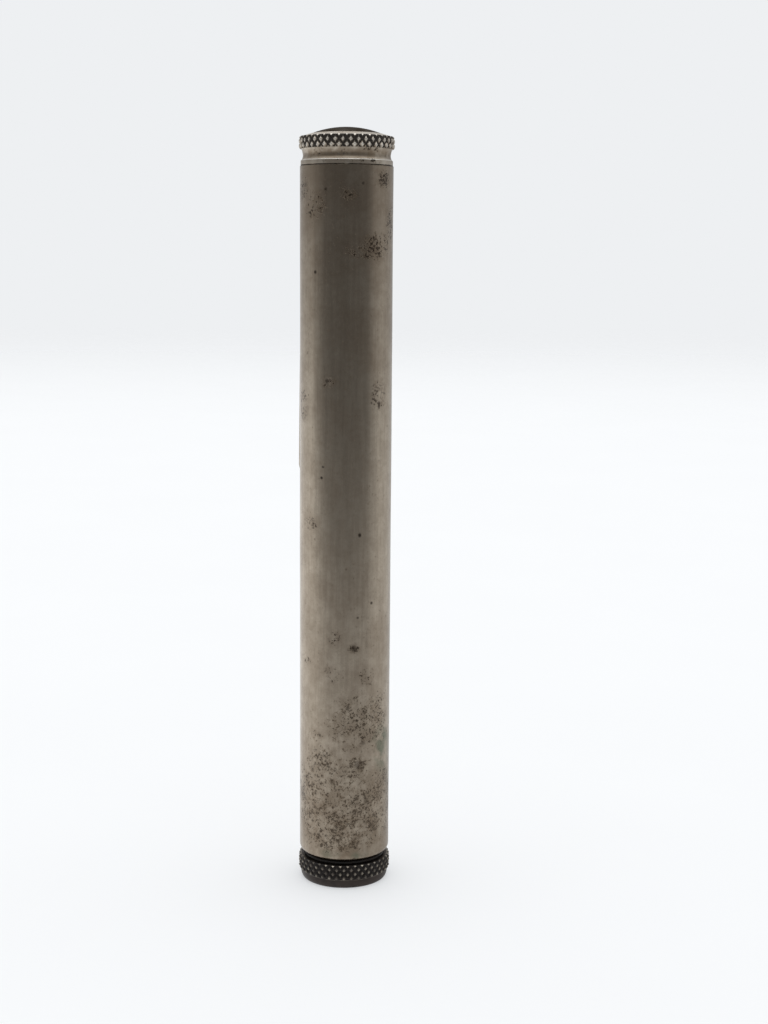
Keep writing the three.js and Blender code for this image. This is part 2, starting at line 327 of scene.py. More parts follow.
@dataclass(frozen=True)
class Value:
    """A number that nodes work out; each step of arithmetic with it adds one Math node."""

    wires: "Wiring"
    socket: Socket

    def __add__(self, other: Number) -> "Value":
        """The sum."""
        return self.wires.math("ADD", self, other)

    def __mul__(self, other: Number) -> "Value":
        """The product."""
        return self.wires.math("MULTIPLY", self, other)

    def __sub__(self, other: Number) -> "Value":
        """The difference."""
        return self.wires.math("SUBTRACT", self, other)

    def __rsub__(self, other: float) -> "Value":
        """The difference, taken from a plain number."""
        return self.wires.math("SUBTRACT", other, self)

    def __truediv__(self, other: Number) -> "Value":
        """The quotient."""
        return self.wires.math("DIVIDE", self, other)

    __radd__ = __add__
    __rmul__ = __mul__

    def ramp(self, low: Number, high: Number, out_low: float = 0.0,
             out_high: float = 1.0) -> "Value":
        """The value mapped smoothly from one range to another, held at both ends."""
        inputs = {0: self, 1: low, 2: high, 3: out_low, 4: out_high}
        return self.wires.value("ShaderNodeMapRange", inputs, interpolation_type="SMOOTHSTEP")

    def or_more(self, other: Number) -> "Value":
        """The larger of the two."""
        return self.wires.math("MAXIMUM", self, other)


class Wiring:
    """Adds nodes to one node tree and joins them."""

    def __init__(self, tree: Tree) -> None:
        """Keep the tree that nodes go into."""
        self.tree = tree

    def add(self, kind: str, inputs: dict | None = None, **settings: object) -> bpy.types.Node:
        """Add one node.

        Args:
            kind: The node's type name.
            inputs: Numbers, values or sockets for its inputs, by name or index.
            settings: Its other properties.

        Returns:
            The node.
        """
        node = self.tree.nodes.new(kind)
        for name, setting in settings.items():
            setattr(node, name, setting)
        for name, given in (inputs or {}).items():
            given = given.socket if isinstance(given, Value) else given
            if isinstance(given, Socket):
                self.tree.links.new(given, node.inputs[name])
            else:
                node.inputs[name].default_value = given
        return node

    def value(self, kind: str, inputs: dict | None = None, output: int | str = 0,
              **settings: object) -> Value:
        """One output of a new node."""
        return Value(self, self.add(kind, inputs, **settings).outputs[output])

    def math(self, operation: str, *numbers: Number, clamp: bool = False) -> Value:
        """The result of one Math node."""
        return self.value("ShaderNodeMath", dict(enumerate(numbers)), operation=operation,
                          use_clamp=clamp)

    def vector(self, operation: str, *inputs: object, output: int = 0) -> Value:
        """The result of one Vector Math node."""
        return self.value("ShaderNodeVectorMath", dict(enumerate(inputs)), output,
                          operation=operation)

    def split(self, vector: Value) -> list[Value]:
        """A vector's three parts."""
        parts = self.add("ShaderNodeSeparateXYZ", {0: vector})
        return [Value(self, part) for part in parts.outputs]

    def joined(self, x: Number, y: Number, z: Number) -> Value:
        """A vector of three parts."""
        return self.value("ShaderNodeCombineXYZ", {0: x, 1: y, 2: z})

    def noise(self, vector: Value, scale: Number, detail: float, roughness: float = 0.55) -> Value:
        """Fractal noise, roughly 0.3 to 0.7."""
        inputs = {"Vector": vector, "Scale": scale, "Detail": detail, "Roughness": roughness}
        return self.value("ShaderNodeTexNoise", inputs)

    def mix(self, share: Number, first: Paint, second: Paint, mode: str = "MIX") -> Socket:
        """Two colours mixed.

        Args:
            share: How much of the second colour there is, from 0 to 1.
            first: The first colour.
            second: The second colour.
            mode: The Mix node's way of mixing.

        Returns:
            The mixed colour.
        """
        paints = [(*c, 1.0) if isinstance(c, tuple) else c for c in (first, second)]
        inputs = {0: share, 6: paints[0], 7: paints[1]}
        return self.add("ShaderNodeMix", inputs, data_type="RGBA", blend_type=mode,
                        clamp_factor=True).outputs[2]

    def shaded(self, colour: Paint, shade: Value) -> Socket:
        """A colour multiplied by one value."""
        grey = self.add("ShaderNodeCombineColor", {0: shade, 1: shade, 2: shade}).outputs[0]
        return self.mix(1.0, colour, grey, "MULTIPLY")


class Effect(Wiring):
    """A shader effect that several finishes share: a node group with named sockets."""

    def __init__(self, name: str, outputs: Sequence[str], **inputs: float | None) -> None:
        """Make an empty group.

        Args:
            name: The group's name.
            outputs: Names of the outputs, each a single value.
            inputs: Input names with their default values; None makes a vector input.
        """
        super().__init__(bpy.data.node_groups.new(name, "ShaderNodeTree"))
        for label, default in inputs.items():
            kind = "NodeSocketVector" if default is None else "NodeSocketFloat"
            made = self.tree.interface.new_socket(label, in_out="INPUT", socket_type=kind)
            if default is not None:
                made.default_value = default
        for label in outputs:
            self.tree.interface.new_socket(label, in_out="OUTPUT", socket_type="NodeSocketFloat")
        entry = self.add("NodeGroupInput")
        self.given = [Value(self, socket) for socket in entry.outputs if socket.name]

    def give(self, *results: Value) -> Tree:
        """Join the results to the outputs, in order, and hand over the group."""
        self.add("NodeGroupOutput", dict(enumerate(results)))
        return self.tree


@cache
def pits() -> Tree:
    """Ragged corrosion pits: one in each cell of a scatter, as large as Density allows.

    Returns:
        The group.
    """
    w = Effect("corrosion_pits", ("Pits", "Halo"), Vector=None, Scale=2.0, Density=0.5,
               Raggedness=0.35)
    vector, scale, density, raggedness = w.given
    wobble = w.add("ShaderNodeTexNoise", {"Vector": vector, "Scale": scale * 1.7, "Detail": 2.0})
    centred = w.vector("SUBTRACT", wobble.outputs["Color"], (0.5, 0.5, 0.5))
    moved = w.value("ShaderNodeVectorMath", {0: centred, "Scale": raggedness / scale},
                    operation="SCALE")
    cells = w.add("ShaderNodeTexVoronoi", {"Vector": w.vector("ADD", vector, moved),
                                           "Scale": scale})
    pick = w.value("ShaderNodeSeparateColor", {0: cells.outputs["Color"]})
    size = (density - pick).ramp(-0.05, 0.7, 0.0, 0.46)
    distance = Value(w, cells.outputs["Distance"])
    there = size.ramp(0.02, 0.08)
    inner = size * 0.55
    return w.give(distance.ramp(inner, size, 1.0, 0.0) * there,
                  distance.ramp(inner, size * 2.1, 1.0, 0.0) * there)


@cache
def corrosion() -> Tree:
    """Ragged patches with speckled edges: fractal noise above a level that Amount lowers.

    Returns:
        The group.
    """
    w = Effect("corrosion", ("Patches", "Halo"), Vector=None, Scale=1.0, Amount=0.5)
    vector, scale, amount = w.given
    above = w.noise(vector, scale, 6.0, 0.74) - (0.715 - amount * 0.235)
    there = amount.ramp(0.02, 0.12)
    return w.give(above.ramp(0.0, 0.04) * there, above.ramp(-0.10, 0.02) * there)


@cache
def cloud() -> Tree:
    """Soft patches: noise with everything below Low clear and above High full.

    Returns:
        The group.
    """
    w = Effect("tarnish_cloud", ("Cloud",), Vector=None, Scale=0.2, Low=0.45, High=0.6)
    vector, scale, low, high = w.given
    return w.give(w.noise(vector, scale, 4.0, 0.6).ramp(low, high))


@cache
def grain() -> Tree:
    """Fine lines along Z, as drawing leaves in a tube, from -1 to 1.

    Returns:
        The group.
    """
    w = Effect("drawn_grain", ("Grain",), Vector=None, Fineness=3.0, Length=14.0)
    vector, fineness, length = w.given
    x, y, z = w.split(vector)
    return w.give(w.noise(w.joined(x, y, z / length), fineness, 2.0, 0.6).ramp(0.3, 0.7, -1.0, 1.0))


@cache
def rings() -> Tree:
    """Rings round Z, as a lathe tool leaves, from -1 to 1: noise of radius and height only.

    Returns:
        The group.
    """
    w = Effect("tool_rings", ("Rings",), Vector=None, Fineness=9.0)
    vector, fineness = w.given
    x, y, z = w.split(vector)
    radius = w.vector("LENGTH", w.joined(x, y, 0.0), output=1)
    return w.give(w.noise(w.joined(radius, 0.0, z), fineness, 2.0, 0.7).ramp(0.3, 0.7, -1.0, 1.0))


@cache
def bloom() -> Tree:
    """A soft ball of influence round one place, squashed or stretched along Z.

    Returns:
        The group.
    """
    w = Effect("stain_bloom", ("Bloom",), Vector=None, Centre=None, Size=4.0, Tallness=1.0,
               Strength=1.0)
    vector, centre, size, tallness, strength = w.given
    x, y, z = w.split(w.vector("SUBTRACT", vector, centre))
    distance = w.vector("LENGTH", w.joined(x, y, z / tallness), output=1)
    return w.give((distance / size).ramp(0.25, 1.0, 1.0, 0.0) * strength)


# Finishes


@dataclass(frozen=True)
class Bloom:
    """A place where the plate has suffered: angle in degrees from the front, sizes in mm."""

    angle: float
    height: float
    size: float
    strength: float
    tallness: float = 1.0
    radius: float = 6.35

    def centre(self) -> tuple[float, float, float]:
        """Where the bloom's middle lies."""
        angle = math.radians(self.angle)
        return (self.radius * math.sin(angle), -self.radius * math.cos(angle), self.height)


@dataclass(frozen=True)
class Patches:
    """The size and limits of a finish's soft patches."""

    scale: float
    low: float = 0.35
    high: float = 0.65


class Surface(Wiring):
    """A material being wired: its shader, its effects and its place in millimetres."""

    def __init__(self, name: str, **fixed: object) -> None:
        """Start a material.

        Args:
            name: The material's name.
            fixed: Values of the shader's own sockets; underscores stand for spaces.
        """
        self.material = bpy.data.materials.new(name)
        self.material.use_nodes = True
        super().__init__(self.material.node_tree)
        self.shader = self.tree.nodes["Principled BSDF"]
        for label, setting in fixed.items():
            self.shader.inputs[label.replace("_", " ")].default_value = setting
        place = self.value("ShaderNodeTexCoord", output="Object")
        self.place = self.vector("MULTIPLY", place, (1 / MM, 1 / MM, 1 / MM))

    def mark(self, name: str) -> Value:
        """One of the mesh's own marks, such as groove or edge."""
        return self.value("ShaderNodeAttribute", output="Fac", attribute_name=name)

    def effect(self, tree: Tree, **inputs: object) -> list[Value]:
        """Place a shared effect on this surface.

        Args:
            tree: The effect's group.
            inputs: Numbers or values for its inputs, other than Vector.

        Returns:
            Its outputs.
        """
        node = self.add("ShaderNodeGroup", {"Vector": self.place, **inputs}, node_tree=tree)
        return [Value(self, output) for output in node.outputs]

    def cloud(self, patches: Patches) -> Value:
        """Soft patches, from 0 to 1."""
        return self.effect(cloud(), Scale=patches.scale, Low=patches.low, High=patches.high)[0]

    def grain(self, fineness: float, length: float) -> Value:
        """Drawing lines, from -1 to 1."""
        return self.effect(grain(), Fineness=fineness, Length=length)[0]

    def rings(self, fineness: float) -> Value:
        """Tool rings, from -1 to 1."""
        return self.effect(rings(), Fineness=fineness)[0]

    def pits(self, scale: float, density: float, raggedness: float) -> Value:
        """Single pits, from 0 to 1."""
        return self.effect(pits(), Scale=scale, Density=density, Raggedness=raggedness)[0]

    def bloom(self, spot: Bloom) -> Value:
        """One bloom's strength, from 0 to 1."""
        return self.effect(bloom(), Centre=spot.centre(), Size=spot.size, Tallness=spot.tallness,
                           Strength=spot.strength)[0]

    def strongest(self, start: Number, blooms: Sequence[Bloom]) -> Value:
        """The largest of a starting value and all the blooms.

        Args:
            start: The least that the result can be.
            blooms: The blooms to place.

        Returns:
            The largest at each point.
        """
        for spot in blooms:
            start = self.bloom(spot).or_more(start)
        return start

    def finish(self, colour: Socket, roughness: Value, metallic: Value | None = None,
               height: Value | None = None, relief: float = 0.0) -> Material:
        """Feed the shader and hand over the material.

        Args:
            colour: Base colour.
            roughness: Roughness.
            metallic: Metallic value, where it varies.
            height: Height for the bump, from 0 to 1.
            relief: What a height of 1 stands for, in mm.

        Returns:
            The material.
        """
        feeds = {"Base Color": colour, "Roughness": roughness.socket}
        if metallic is not None:
            feeds["Metallic"] = metallic.socket
        if height is not None:
            bump = {"Height": height, "Distance": relief * MM, "Strength": 1.0}
            feeds["Normal"] = self.add("ShaderNodeBump", bump).outputs[0]
        for label, socket in feeds.items():
            self.tree.links.new(socket, self.shader.inputs[label])
        return self.material


@dataclass(frozen=True)
class NickelPlate:
    """Old nickel plate on brass: grey with a warm film, spotted where damp got through."""

    clean: Colour = (0.47, 0.412, 0.335)
    film: Colour = (0.31, 0.255, 0.198)
    stain: Colour = (0.175, 0.125, 0.080)
    pit: Colour = (0.030, 0.019, 0.012)
    green: Colour = (0.12, 0.165, 0.12)
    roughness: float = 0.17
    relief: float = 0.014
    scatter: float = 0.26
    lip: tuple[float, float] = (4.6, 6.2)
    foot: tuple[float, float] = (12.0, 36.0)
    film_patches: Patches = Patches(0.16, 0.34, 0.66)
    mottle_patches: Patches = Patches(1.3, 0.35, 0.66)
    damp_patches: Patches = Patches(0.5, 0.36, 0.6)
    blooms: tuple[Bloom, ...] = (
        Bloom(42, 89.6, 4.0, 0.90, 0.85), Bloom(20, 88.8, 4.0, 0.90, 0.5),
        Bloom(52, 98.4, 2.2, 0.90, 1.2), Bloom(4, 96.4, 2.2, 0.86, 0.8),
        Bloom(-42, 94.8, 3.4, 0.80), Bloom(-70, 97.0, 3.4, 0.70),
        Bloom(70, 92.5, 3.0, 0.72, 1.6), Bloom(-23, 71.4, 2.2, 0.78, 0.7),
        Bloom(-66, 68.0, 2.4, 0.66, 2.0), Bloom(44, 69.4, 2.6, 0.80, 1.6),
        Bloom(-12, 8.5, 9.5, 0.84, 0.85), Bloom(22, 10.5, 8.5, 0.80),
        Bloom(-52, 12.5, 7.5, 0.78, 1.1), Bloom(62, 12.0, 7.5, 0.76, 1.2),
        Bloom(17, 18.0, 2.6, 0.88, 0.9), Bloom(-13, 36.2, 2.0, 0.70),
        Bloom(11, 34.7, 1.6, 0.80, 0.8), Bloom(-48, 51.8, 2.8, 0.74, 0.6),
        Bloom(-17, 31.0, 2.2, 0.66), Bloom(30, 30.4, 2.6, 0.62),
        Bloom(-55, 32.3, 1.8, 0.66, 0.6), Bloom(-28, 17.5, 6.0, 0.72),
        Bloom(32, 24.0, 7.5, 0.68, 1.1), Bloom(6, 24.0, 5.5, 0.68, 1.3),
        Bloom(0, 16.0, 7.0, 0.66, 0.9), Bloom(-42, 21.8, 3.0, 0.64, 0.6),
        Bloom(66, 27.5, 3.0, 0.45, 1.8), Bloom(160, 30.0, 9.0, 0.55, 1.6),
        Bloom(-140, 80.0, 6.0, 0.45, 1.4), Bloom(120, 8.0, 7.0, 0.60, 0.8),
        Bloom(-120, 9.0, 7.0, 0.55, 0.8),
    )
    dots: tuple[Bloom, ...] = (
        Bloom(-41, 86.0, 0.34, 1.0), Bloom(-29, 59.8, 0.30, 0.9, 0.7),
        Bloom(-31, 58.3, 0.30, 1.0), Bloom(18, 50.5, 0.34, 1.0, 1.3),
        Bloom(35, 40.9, 0.30, 0.9), Bloom(16, 39.0, 0.26, 0.7),
        Bloom(11, 34.7, 0.55, 0.8, 1.3), Bloom(-26, 96.9, 0.30, 0.8),
        Bloom(20, 97.7, 0.28, 0.8), Bloom(-23, 71.5, 0.50, 0.8, 0.8),
        Bloom(45, 68.2, 0.36, 0.9, 2.2), Bloom(17, 18.0, 0.80, 0.7),
        Bloom(24, 21.1, 0.45, 0.6), Bloom(26, 25.5, 0.40, 0.6),
        Bloom(4, 26.3, 0.34, 0.7, 1.8), Bloom(13, 4.3, 0.34, 1.0),
    )
    verdigris: tuple[Bloom, ...] = (
        Bloom(58, 20.0, 3.0, 0.62, 1.5), Bloom(20, 4.8, 1.8, 0.45, 0.5),
        Bloom(-20, 5.0, 2.2, 0.35, 0.4),
    )

    def material(self) -> Material:
        """Wire the finish.

        Returns:
            The material.
        """
        s = Surface("nickel_plate", Metallic=1.0)
        level = s.split(s.place)[2]
        damp = s.cloud(self.damp_patches)
        density = s.strongest(self.scatter, self.blooms)
        local = density * damp.ramp(0.0, 1.0, 0.7, 1.1) * level.ramp(*self.lip, 0.4, 1.0)
        crust, crust_halo = s.effect(corrosion(), Scale=1.5, Amount=local * 0.9)
        specks = s.effect(corrosion(), Scale=3.0, Amount=local * 1.04)[0]
        eaten = specks.or_more(crust * 0.5)
        seam = s.mark("groove") * damp.ramp(0.0, 0.8, 0.6, 1.0)
        pitted = s.strongest(eaten.or_more(s.pits(0.8, 0.17, 0.1)), self.dots).or_more(seam)
        lines, hair = s.grain(2.4, 26.0), s.grain(9.0, 34.0)
        film = s.cloud(self.film_patches) * 0.5 + s.cloud(self.mottle_patches) * 0.25
        ends = level.ramp(60.0, 98.0, 0.0, 0.4) + level.ramp(5.0, 20.0, 0.30, 0.0)
        film = s.math("ADD", film, ends, clamp=True)
        colour = s.shaded(s.mix(film, self.clean, self.film), 1.0 + (lines * 0.05 + hair * 0.03))
        halo = (crust_halo * 0.9).or_more(density * damp * 0.95)
        colour = s.mix(halo * level.ramp(*self.foot, 0.68, 0.5), colour, self.stain)
        for spot in self.verdigris:
            colour = s.mix(s.bloom(spot) * damp, colour, self.green)
        colour = s.mix(pitted * level.ramp(*self.foot, 0.68, 0.94), colour, self.pit)
        rough = self.roughness + (film * 0.07 + halo * 0.05) + pitted * 0.04
        height = 0.8 + hair * 0.01 - eaten * 0.8
        return s.finish(colour, rough, pitted.ramp(0.2, 1.0, 1.0, 0.85), height, self.relief)


@dataclass(frozen=True)
class CapPlate:
    """The cap's nickel: brighter at its edges from wear, with a painted highlight line on the band's
    upper chamfer, brown film in the cove, dirt in the knurling.
    """

    clean: Colour = (0.57, 0.515, 0.435)
    film: Colour = (0.32, 0.262, 0.200)
    stain: Colour = (0.19, 0.135, 0.085)
    # Pale metal: wear on the knurl's tips, and a painted highlight on the band's upper chamfer.
    wear_and_highlight: Colour = (0.74, 0.71, 0.65)
    dirt: Colour = (0.020, 0.015, 0.012)
    roughness: float = 0.30
    relief: float = 0.012
    scatter: float = 0.30
    film_patches: Patches = Patches(0.45, 0.36, 0.62)
    blooms: tuple[Bloom, ...] = (
        Bloom(26, 102.2, 1.3, 0.86, 0.5), Bloom(40, 102.1, 1.2, 0.80, 0.5),
        Bloom(-8, 102.0, 1.4, 0.66, 0.5), Bloom(-38, 101.7, 1.8, 0.74, 0.6),
        Bloom(18, 100.7, 1.0, 0.86, 0.5), Bloom(-9, 100.7, 1.0, 0.82, 0.4),
        Bloom(34, 100.6, 0.8, 0.90, 0.8), Bloom(-28, 100.6, 1.3, 0.66, 0.5),
        Bloom(4, 100.6, 0.9, 0.74, 0.5), Bloom(150, 101.2, 3.0, 0.66, 0.6),
        Bloom(-110, 101.8, 2.6, 0.62, 0.5),
    )

    def material(self) -> Material:
        """Wire the finish.

        Returns:
            The material.
        """
        s = Surface("cap_plate", Metallic=1.0)
        groove, edge = s.mark("groove"), s.mark("edge")
        film = s.cloud(self.film_patches)
        density = s.strongest(self.scatter, self.blooms)
        specks, speck_halo = s.effect(corrosion(), Scale=2.4, Amount=density)
        colour = s.mix(film * 0.8, self.clean, self.film)
        colour = s.mix(speck_halo * 0.45, colour, self.stain)
        browned = groove.ramp(0.0, 0.16) * s.noise(s.place, 0.7, 3.0).ramp(0.36, 0.62, 0.35, 1.0)
        colour = s.mix(browned * 0.62, colour, self.stain)
        # Edge marks mix in the pale colour: wear on the knurl's tips, painted highlight on the
        # band's chamfer.
        colour = s.mix(s.math("MULTIPLY", edge, 0.75, clamp=True), colour, self.wear_and_highlight)
        smudge = (s.noise(s.place, 2.6, 3.0, 0.6) - 0.5) * 0.9
        uneven = (s.noise(s.place, 0.9, 2.0, 0.5) - 0.5) * 1.2
        caked = (groove + (smudge + uneven)).ramp(0.34, 0.62) * groove.ramp(0.02, 0.2)
        colour = s.mix(specks * 0.85, colour, self.dirt)
        colour = s.mix(caked * 0.95, colour, self.dirt)
        rough = self.roughness + (film * 0.08 + caked * 0.35)
        height = 0.7 + s.rings(7.0) * 0.12 - specks * 0.6
        return s.finish(colour, rough, caked.ramp(0.1, 1.0, 1.0, 0.15), height, self.relief)


@dataclass(frozen=True)
class Patina:
    """Brown-black patina on brass, with paler metal where fingers have polished it through, and a
    painted highlight line in that pale colour on the knurled ring's top rim.
    """

    dark: Colour = (0.047, 0.041, 0.039)
    brown: Colour = (0.078, 0.064, 0.058)
    # Pale metal: wear on edges and knurl tips, and a painted highlight on the knurled ring's top
    # rim.
    wear_and_highlight: Colour = (0.44, 0.40, 0.33)
    dirt: Colour = (0.012, 0.009, 0.008)
    roughness: float = 0.40
    relief: float = 0.012
    wear_and_highlight_share: float = 0.9
    film_patches: Patches = Patches(0.5, 0.36, 0.64)

    def material(self) -> Material:
        """Wire the finish.

        Returns:
            The material.
        """
        s = Surface("dark_patina", Metallic=1.0)
        groove = s.mark("groove")
        film = s.cloud(self.film_patches)
        spotty = s.noise(s.place, 1.1, 2.0, 0.6)
        # Edge marks bring in the pale colour: wear on edges and knurl tips, and a painted highlight
        # along the knurled ring's top rim.
        rubbed_and_highlight = (s.mark("edge").ramp(0.12, 0.9) * spotty.ramp(0.36, 0.60, 0.25, 1.0)
                  * self.wear_and_highlight_share)
        colour = s.mix(rubbed_and_highlight, s.mix(film, self.dark, self.brown), self.wear_and_highlight)
        colour = s.mix(groove.ramp(0.3, 0.8) * 0.85, colour, self.dirt)
        rough = self.roughness + (film - rubbed_and_highlight) * 0.12
        height = s.rings(6.0) * 0.12 + spotty * 0.5
        return s.finish(colour, rough, groove.ramp(0.3, 1.0, 0.95, 0.4), height, self.relief)


@dataclass(frozen=True)
class DarkPlate:
    """The crown's tarnished plate: almost black, half glossy, with faint turning rings."""

    dark: Colour = (0.048, 0.043, 0.039)
    grey: Colour = (0.095, 0.087, 0.079)
    speck: Colour = (0.012, 0.010, 0.009)
    rim: Colour = (0.34, 0.32, 0.30)
    roughness: float = 0.36
    relief: float = 0.012
    film_patches: Patches = Patches(0.4)

    def material(self) -> Material:
        """Wire the finish.

        Returns:
            The material.
        """
        s = Surface("dark_plate", Metallic=1.0, Specular_Tint=(*self.rim, 1.0))
        film = s.cloud(self.film_patches)
        specks = s.pits(1.4, 0.28, 0.5)
        colour = s.mix(specks * 0.7, s.mix(film, self.dark, self.grey), self.speck)
        rough = self.roughness + (film * 0.1 + specks * 0.3)
        height = 0.5 + s.rings(5.0) * 0.1 - specks * 0.5
        return s.finish(colour, rough, height=height, relief=self.relief)


@dataclass(frozen=True)
class TurnedBrass:
    """Bare turned brass, dull gold, with tool rings and dark dirt in the thread's roots."""

    bright: Colour = (0.62, 0.47, 0.23)
    dull: Colour = (0.36, 0.25, 0.12)
    dirt: Colour = (0.09, 0.06, 0.03)
    roughness: float = 0.30
    relief: float = 0.01
    film_patches: Patches = Patches(0.5)

    def material(self) -> Material:
        """Wire the finish.

        Returns:
            The material.
        """
        s = Surface("turned_brass", Metallic=1.0)
        film = s.cloud(self.film_patches)
        colour = s.mix(s.mark("groove") * 0.75, s.mix(film, self.bright, self.dull), self.dirt)
        height = 0.5 + s.rings(8.0) * 0.2
        return s.finish(colour, self.roughness + film * 0.15, height=height, relief=self.relief)


@dataclass(frozen=True)
class Cork:
    """Fine cork: tan, with darker flecks and small open pores."""

    pale: Colour = (0.50, 0.33, 0.18)
    fleck: Colour = (0.20, 0.11, 0.055)
    relief: float = 0.06

    def material(self) -> Material:
        """Wire the finish.

        Returns:
            The material.
        """
        s = Surface("cork", Metallic=0.0)
        grains = s.value("ShaderNodeTexVoronoi", {"Vector": s.place, "Scale": 1.6}, "Color")
        tone = s.value("ShaderNodeSeparateColor", {0: grains})
        pores = s.pits(2.2, 0.55, 0.8)
        colour = s.mix(pores * 0.85, s.mix(tone * 0.45, self.pale, self.fleck), self.fleck)
        rough = tone.ramp(0.0, 1.0, 0.78, 0.92)
        return s.finish(colour, rough, height=1.0 - pores, relief=self.relief)


@dataclass(frozen=True)
class WaxedLeather:
    """Almost black leather, made darker still as painted shade for the shadowed gap it sits in, with
    a fine pore grain and a waxy sheen.
    """

    # Near black: the leather's own colour, darkened further as painted shade of the gap between tube
    # and ring.
    black: Colour = (0.006, 0.005, 0.0045)
    brown: Colour = (0.018, 0.012, 0.009)
    relief: float = 0.03
    film_patches: Patches = Patches(0.8)

    def material(self) -> Material:
        """Wire the finish.

        Returns:
            The material.
        """
        s = Surface("washer_leather", Metallic=0.0)
        film = s.cloud(self.film_patches)
        height = 1.0 - s.pits(5.0, 0.8, 0.6)
        return s.finish(s.mix(film, self.black, self.brown), film.ramp(0.0, 1.0, 0.5, 0.75),
                        height=height, relief=self.relief)


@dataclass(frozen=True)
class Felt:
    """Pressed wool felt: matted fibres, dark red, a little faded on top."""

    deep: Colour = (0.16, 0.022, 0.020)
    faded: Colour = (0.33, 0.085, 0.07)
    relief: float = 0.18
    tuft_stretch: tuple[float, float, float] = (2.2, 0.6, 1.0)

    def material(self) -> Material:
        """Wire the finish.

        Returns:
            The material.
        """
        s = Surface("felt", Metallic=0.0, Sheen_Weight=0.4)
        matted = s.noise(s.place, 4.5, 5.0, 0.75)
        tufts = s.noise(s.vector("MULTIPLY", s.place, self.tuft_stretch), 3.0, 3.0, 0.6)
        fibres = matted * 0.6 + tufts * 0.4
        colour = s.mix(fibres.ramp(0.38, 0.62), self.deep, self.faded)
        return s.finish(colour, matted.ramp(0.3, 0.7, 0.85, 1.0), height=fibres, relief=self.relief)


# Sub-assemblies


def span(node: str) -> tuple[float, float, float]:
    """A node's lowest and highest Z and its largest radius, in mm."""
    low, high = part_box(node)
    return low.z / MM, high.z / MM, max(high.x, high.y) / MM


def settle(piece: Piece, material: Material, body: str, node: str) -> None:
    """Dress a piece and tell the frame what it stands for.

    Args:
        piece: The new mesh object.
        material: Its finish.
        body: The body it moves with.
        node: The node it replaces.
    """
    piece.data.materials.append(material)
    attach(piece, body)
    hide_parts(node)
    log.info("%s: %d faces, rides on %s", piece.name, len(piece.data.polygons), body)


